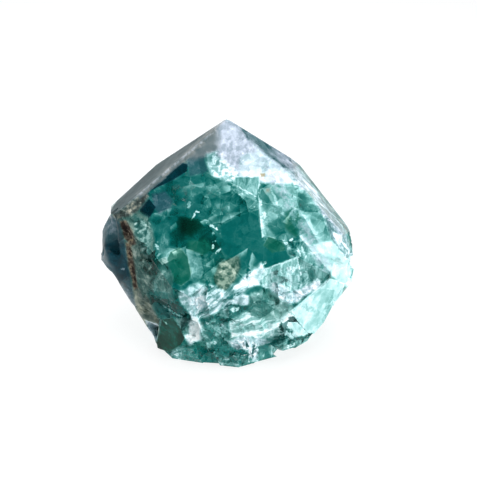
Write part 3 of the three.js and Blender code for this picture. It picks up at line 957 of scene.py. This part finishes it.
def all_round(g, place, pushed, broken):
    """The skin on every side: blocks of sound crystal with milky patches, and paler broken flanks."""
    block = g.parts(g.voronoi(pushed, ROUND_BLOCK, "Color"))[0]
    large = g.noise(place, ROUND_BLOT, 2)
    skin = blend(g, g.ramp(block, *MID_BLOCKS), look("emerald"), look("mid"))
    skin = blend(g, g.ramp(block, *DEEP_BLOCKS), skin, look("deep"))
    milky = g.more(large, block, BLOCK_MILK)
    skin = blend(g, g.ramp(milky, *MILKY_BLOTS), skin, look("pale"))
    flank = blend(g, g.ramp(large, *TORN_BLOTS), look("sheet"), look("mint"))
    flank = blend(g, g.patches(pushed, CLEAR_PATCHES), flank, look("emerald"))
    return blend(g, g.times(broken, TORN_SHARE), skin, flank)


def with_zones(g, crisp_spot, loose_spot, broken_line):
    """The skin as its zones make it, each laid over those before it."""
    skin = look("mid")
    for name, soft, rim, corners in ZONES:
        inputs = {"spot": crisp_spot if soft <= CRISP_BORDER else loose_spot, "half soft": soft / 2}
        inputs |= {"rim": (rim * RIM_LIGHT, rim * RIM_LIGHT, 0, 1), "broken line": broken_line}
        inputs |= side_inputs(corners)
        inputs |= dict(zip(SKIN, skin)) | {"over " + part: over for part, over in zip(SKIN, look(name))}
        given = g.use(zone_group(len(corners)), inputs)
        skin = [given[part] for part in SKIN]
    return skin


def with_veils(g, spot, body):
    """The body with the veils laid over it."""
    for cloud, fade, corners in VEILS:
        veil = (cloud, cloud + VEIL_SPREAD, VEIL_BUSY, 1)
        inputs = {"spot": spot, "fade": fade, "body": body, "over body": veil}
        body = g.use(veil_group(len(corners)), inputs | side_inputs(corners))["body"]
    return body


def with_marks(g, place, spot, body):
    """The body with the small marks laid over it, the painted glints and the shaded pits among them."""
    ragged = g.ramp(g.noise(place, RAGGED_SIZE, 2, 0.6), *RAGGED_NOISE, *RAGGED_PUSH)
    for cloud, *shape in MARKS:
        along, across = oval(*shape)
        mark = (cloud * MARK_CLOUD, cloud * MARK_CLOUD, MARK_BUSY, 1)
        inputs = {"spot": spot, "along": along, "across": across, "ragged": ragged}
        body = g.use(mark_group(), inputs | {"body": body, "over body": mark})["body"]
    return body


def front(g, place, crisp, pushed):
    """The skin as the front shows it: zone over zone, then the veils and the small marks."""
    crisp_spot, loose_spot = picture_place(g, crisp), picture_place(g, pushed)
    body, *others = with_zones(g, crisp_spot, loose_spot, g.patches(place, BROKEN_RIM))
    body = with_veils(g, crisp_spot, body)
    return [with_marks(g, place, crisp_spot, body), *others]


def whole_skin(g, place, crisp, pushed, nearest, next_nearest):
    """The skin of the whole stone, with scuffs along the edges between its facets."""
    skin = all_round(g, place, pushed, g.ramp(nearest, *BROKEN_FROM))
    faces_front = g.dot(g.put("NewGeometry", {}, out="True Normal"), tuple(-SIGHT))
    skin = blend(g, g.ramp(faces_front, *FRONT_EDGE), skin, front(g, place, crisp, pushed))
    scuff = g.times(g.ramp(next_nearest, *SCUFF_REACH), g.patches(place, SCUFFS))
    return blend(g, g.times(scuff, SCUFF_SHARE), skin, look("frost"))


def fibres(g, place, along, lean):
    """The socket of streaks along an axis, from 0 to 1."""
    if lean:
        turn = {"Vector": place, "Angle": math.radians(lean)}
        place = g.put("VectorRotate", turn, rotation_type="Y_AXIS")
    return g.patches(g.vector("MULTIPLY", place, along), FIBRES)


def pattern(g, pushed, grain, grainy, fibre):
    """The socket of where a look is most cloudy: clouds, fibres of its kind, or grain."""
    share = g.patches(pushed, CLOUDS)
    for kind, along, lean in FIBRE_KINDS:
        distance = g.math("ABSOLUTE", g.math("SUBTRACT", fibre, kind))
        share = g.blend_value(g.ramp(distance, 1, 0, 0, FIBRE_SHARE), share, fibres(g, pushed, along, lean))
    return g.blend_value(grainy, share, grain)


def shared_detail(g, place, crisp, pushed, block, chip):
    """The socket of the detail that every look shares: blocks, hairlines, wisps and painted glints."""
    (block_colour, block_slope), (chip_colour, chip_slope) = block, chip
    block_value, chip_value = g.parts(block_colour)[0], g.parts(chip_colour)[0]
    detail = g.more(g.times(g.minus_half(block_value), BLOCK_STEP), block_slope, BLOCK_SLOPE)
    detail = g.more(detail, g.minus_half(chip_value), CHIP_STEP)
    detail = g.more(detail, chip_slope, CHIP_SLOPE)
    lines = g.more(hairlines(g, crisp, *HAIRLINES), hairlines(g, place, *FINE_HAIRLINES), FINE_SHARE)
    detail = g.more(detail, lines, HAIRLINE_STEP)
    ridge = g.math("ABSOLUTE", g.minus_half(g.noise(pushed, WISP_SIZE, 4, 0.6)))
    wisp = g.times(g.ramp(ridge, WISP_WIDTH, 0.0), g.patches(place, WISP_GAPS))
    detail = g.more(detail, wisp, WISP_STEP)
    glint_gap = g.voronoi(place, GLINT_SIZE, "Distance")
    glint_on = g.ramp(g.parts(g.voronoi(place, GLINT_SIZE, "Color"))[0], *GLINTS_SHOWN)
    return g.more(detail, g.times(g.ramp(glint_gap, *GLINT_EDGE), glint_on), GLINT_STEP)


def body_colour(g, place, cloud, cool, earth):
    """The socket of the crystal's colour, from how cloudy, how cool and how earthy it is."""
    hue = g.more(cool, g.minus_half(g.noise(place, HUE_SIZE, 2)), HUE_SWING)
    sound = g.mix(g.ramp(hue, 0, TEAL_HUE), g.run(cloud, GREEN), g.run(cloud, TEAL))
    cooler = g.mix(g.ramp(hue, TEAL_HUE, 1), sound, g.run(cloud, COOL))
    return g.mix(earth, cooler, g.run(cloud, EARTH))


def clearness(g, cloud, rough, earth):
    """The socket of the share of light let through: none where the crystal is cloudy, earthy or rough."""
    milk = g.ramp(cloud, 0.0, OPAQUE_CLOUD, LEAST_MILK, 1.0, smooth=False)
    covered = g.larger(g.ramp(earth, *EARTH_COVERS), g.ramp(rough, *ROUGH_COVERS))
    return g.math("SUBTRACT", 1.0, g.larger(milk, covered), clamp=True)


def tilted_normal(g, busy, block_colour, chip_colour):
    """The socket of a normal that leans with each block, as each faces its own way under the polish."""
    normal = g.put("NewGeometry", {}, out="Normal")
    block_lean = g.scale(g.minus_grey(block_colour), BLOCK_LEAN)
    leans = g.vector("ADD", block_lean, g.scale(g.minus_grey(chip_colour), CHIP_LEAN))
    return g.vector("NORMALIZE", g.vector("ADD", normal, g.scale(leans, busy)))


def fluorite():
    """See-through teal crystal, milky where it is fractured inside and polished on its ground facets."""
    material = bpy.data.materials.new("fluorite")
    material.use_nodes = True
    g = Graph(material.node_tree)
    place = g.scale(g.put("TexCoord", {}, out="Object"), 1 / MM)

    # places pushed about, so that borders wander
    wander = g.minus_grey(g.noise(place, WANDER_SIZE, 2, out="Color"))
    fray = g.minus_grey(g.noise(place, FRAY_SIZE, 3, 0.7, out="Color"))
    crisp = g.vector("ADD", place, g.scale(fray, FRAY))
    pushed = g.vector("ADD", crisp, g.scale(wander, WANDER))
    nearest, next_nearest = facet_distances(g, place)

    body, finish, texture = whole_skin(g, place, crisp, pushed, nearest, next_nearest)
    least, most, busy = g.parts(body)
    rough, cool, earth = g.parts(finish)
    uneven, grainy, fibre = g.parts(texture)

    # how cloudy the crystal is, and so its colour and how clear it is
    grain = g.patches(crisp, GRAIN)
    share = pattern(g, pushed, grain, grainy, fibre)
    block = blocks(g, crisp, BLOCK_SIZE)
    chip = blocks(g, g.vector("ADD", place, g.scale(fray, CHIP_FRAY)), CHIP_SIZE)
    detail = shared_detail(g, place, crisp, pushed, block, chip)
    cloud = g.math("ADD", g.blend_value(share, least, most), g.times(detail, busy), clamp=True)
    colour = body_colour(g, place, cloud, cool, earth)
    clear = clearness(g, cloud, rough, earth)

    # the polish, which lies on the ground facets alone, and how the surface leans and ripples
    polished = g.times(g.ramp(nearest, *POLISH_EDGE), g.ramp(rough, *POLISHED_LOOKS))
    coat = g.times(polished, POLISH)
    tilted = tilted_normal(g, busy, block[0], chip[0])
    height = g.add(grain, fibres(g, pushed, *RIPPLES))
    bump = {"Height": height, "Strength": g.times(uneven, BUMP), "Distance": BUMP_HEIGHT, "Normal": tilted}
    g.connect(material.node_tree.nodes["Principled BSDF"], {
        "Base Color": colour,
        "Roughness": rough,
        "Transmission Weight": clear,
        "IOR": FLUORITE_IOR,
        "Specular IOR Level": SPECULAR,
        "Coat Weight": coat,
        "Coat IOR": FLUORITE_IOR,
        "Coat Roughness": POLISH_ROUGHNESS,
        "Normal": g.put("Bump", bump),
    })
    inside = g.put("VolumeAbsorption", {"Color": COLOUR_THROUGH, "Density": ABSORPTION})
    g.connect(material.node_tree.nodes["Material Output"], {"Volume": inside})
    return material


stone_mesh.materials.append(fluorite())

# ---- the studio round it ----

SURROUND = (0.88, 0.95, 1.0, 1)
SURROUND_STRENGTH = 0.8

# The dark cards of the surround: the way to each, as for the facets, and how far from it the card ends and
# is full, all in degrees.
CARDS = [
    (0, 46, 44, 24),
    (180, 6, 52, 34),
]
CARD_COLOUR = (0.03, 0.035, 0.04, 1)


def studio():
    """A white surround with dark cards, which the polished facets mirror."""
    world = bpy.data.worlds.new("studio")
    world.use_nodes = True
    g = Graph(world.node_tree)
    way = g.put("TexCoord", {}, out="Generated")
    card = 0.0
    for turn, tilt, ends, full in CARDS:
        edge = [math.cos(math.radians(angle)) for angle in (ends, full)]
        card = g.larger(card, g.ramp(g.dot(way, tuple(facing(turn, tilt))), *edge))
    colour = g.mix(card, SURROUND, CARD_COLOUR)
    g.connect(world.node_tree.nodes["Background"], {"Color": colour, "Strength": SURROUND_STRENGTH})
    return world


scene.world = studio()
scene.view_settings.view_transform = "Standard"
